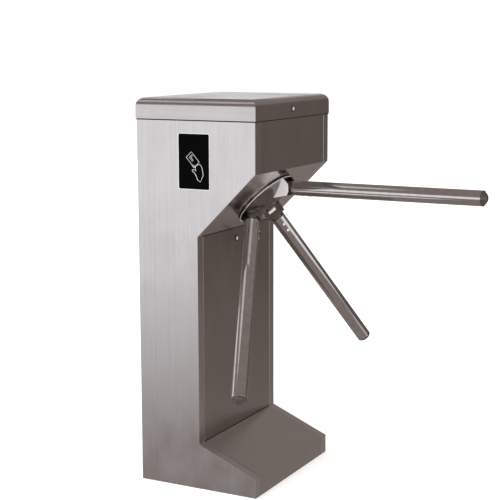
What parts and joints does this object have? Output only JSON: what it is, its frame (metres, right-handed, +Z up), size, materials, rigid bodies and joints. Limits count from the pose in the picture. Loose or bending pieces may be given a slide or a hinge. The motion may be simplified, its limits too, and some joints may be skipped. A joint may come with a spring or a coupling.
{
  "type": "visitor counter turnstile",
  "caption": "Floor-standing tripod turnstile in brushed steel with sloping hub face, rotating arms, card reader panel, hinged lid and column door.",
  "frame": {"origin": "middle of the foot's underside, on the floor (the origin of the floor mount)", "axes": "+Z up; +X towards the passage that the arms turn in; -Y towards the end panel with the card reader"},
  "size_m": [0.8437, 0.7702, 0.98],
  "materials": {
    "brushed_steel": "satin brushed, vertical grain",
    "polished_steel": "polished stainless steel",
    "machined_steel": "turned and machined, lightly oiled",
    "zinc_plate": "bright zinc-plated sheet",
    "cast_aluminium": "as-cast, matt",
    "black_glass": "glossy black window",
    "black_plastic": "moulded, satin",
    "grey_plastic": "moulded, matt",
    "circuit_board": "solder mask"
  },
  "bodies": {
    "cabinet": {"base_plate": "zinc_plate", "front_panel": "brushed_steel", "rear_panel": "brushed_steel", "hood_panel": "brushed_steel", "back_panel": "brushed_steel", "foot_cover": "brushed_steel", "cable_gland": "black_plastic", "hinge_fixed_leaf": "machined_steel", "lid_keeper": "zinc_plate", "door_keeper": "zinc_plate", "reader_window": "black_glass", "reader_module": "black_plastic", "electronics_tray": "zinc_plate", "power_supply": "zinc_plate", "control_board": "circuit_board", "counter_unit": "black_plastic", "mechanism_chassis": "cast_aluminium", "mechanism_bridge": "zinc_plate", "slope_screw_front": "machined_steel", "slope_screw_rear": "machined_steel", "bearing_housing": "cast_aluminium", "front_bearing": "machined_steel", "rear_bearing": "machined_steel", "index_unit": "grey_plastic", "opto_sensor": "black_plastic", "entry_pawl_post": "machined_steel", "exit_pawl_post": "machined_steel", "entry_solenoid": "black_plastic", "exit_solenoid": "black_plastic"},
    "lid": {"lid_shell": "brushed_steel", "hinge_lid_leaf": "machined_steel", "lid_lock_barrel": "polished_steel"},
    "lid_cam": {"lid_lock_cam": "polished_steel"},
    "column_door": {"column_door": "brushed_steel", "door_lock_barrel": "polished_steel"},
    "door_cam": {"door_lock_cam": "polished_steel"},
    "tripod": {"hub_body": "polished_steel", "hub_bolt": "polished_steel", "main_shaft": "machined_steel", "lock_disc": "machined_steel", "encoder_disc": "black_plastic", "upper_arm_root": "machined_steel", "upper_arm_tube": "polished_steel", "upper_arm_cap": "black_plastic", "upper_arm_screw_1": "polished_steel", "upper_arm_screw_2": "polished_steel", "near_arm_root": "machined_steel", "near_arm_tube": "polished_steel", "near_arm_cap": "black_plastic", "near_arm_screw_1": "polished_steel", "near_arm_screw_2": "polished_steel", "far_arm_root": "machined_steel", "far_arm_tube": "polished_steel", "far_arm_cap": "black_plastic", "far_arm_screw_1": "polished_steel", "far_arm_screw_2": "polished_steel"},
    "entry_pawl": {"entry_pawl": "machined_steel"},
    "exit_pawl": {"exit_pawl": "machined_steel"},
    "entry_plunger": {"entry_plunger": "machined_steel"},
    "exit_plunger": {"exit_plunger": "machined_steel"}
  },
  "joints": [
    {"name": "tripod_spin", "type": "hinge", "parent": "cabinet", "child": "tripod", "pos_m": [0.085, 0, 0.722], "axis": [0.7071, 0, -0.7071], "continuous": true},
    {"name": "entry_pawl_swing", "type": "hinge", "parent": "cabinet", "child": "entry_pawl", "pos_m": [0.05813, -0.038, 0.84221], "axis": [-0.7071, 0, 0.7071], "range_deg": [0, 10]},
    {"name": "entry_plunger_slide", "type": "slide", "parent": "cabinet", "child": "entry_plunger", "axis": [0.7071, 0, 0.7071], "range_m": [0, 0.0052], "stiffness_N_per_m": 200, "springref_m": -0.004},
    {"name": "exit_pawl_swing", "type": "hinge", "parent": "cabinet", "child": "exit_pawl", "pos_m": [-0.03521, 0.038, 0.74887], "axis": [-0.7071, 0, 0.7071], "range_deg": [0, 10]},
    {"name": "exit_plunger_slide", "type": "slide", "parent": "cabinet", "child": "exit_plunger", "axis": [-0.7071, 0, -0.7071], "range_m": [0, 0.0052], "stiffness_N_per_m": 200, "springref_m": -0.004},
    {"name": "lid_open", "type": "hinge", "parent": "cabinet", "child": "lid", "pos_m": [-0.1705, 0, 0.9283], "axis": [0, -1, 0], "range_deg": [0, 88]},
    {"name": "lid_lock_turn", "type": "hinge", "parent": "lid", "child": "lid_cam", "pos_m": [0.167, -0.009, 0.95], "axis": [1, 0, 0], "range_deg": [0, 90]},
    {"name": "door_tilt", "type": "hinge", "parent": "cabinet", "child": "column_door", "pos_m": [0.005, 0, 0.117], "axis": [0, 1, 0], "range_deg": [0, 3]},
    {"name": "door_lock_turn", "type": "hinge", "parent": "column_door", "child": "door_cam", "pos_m": [0.005, -0.006, 0.613], "axis": [1, 0, 0], "range_deg": [0, 90]}
  ],
  "couplings": [
    {"joint": "entry_pawl_swing", "follows": "entry_plunger_slide", "rad_per_m": 33.333},
    {"joint": "exit_pawl_swing", "follows": "exit_plunger_slide", "rad_per_m": 33.333}
  ]
}
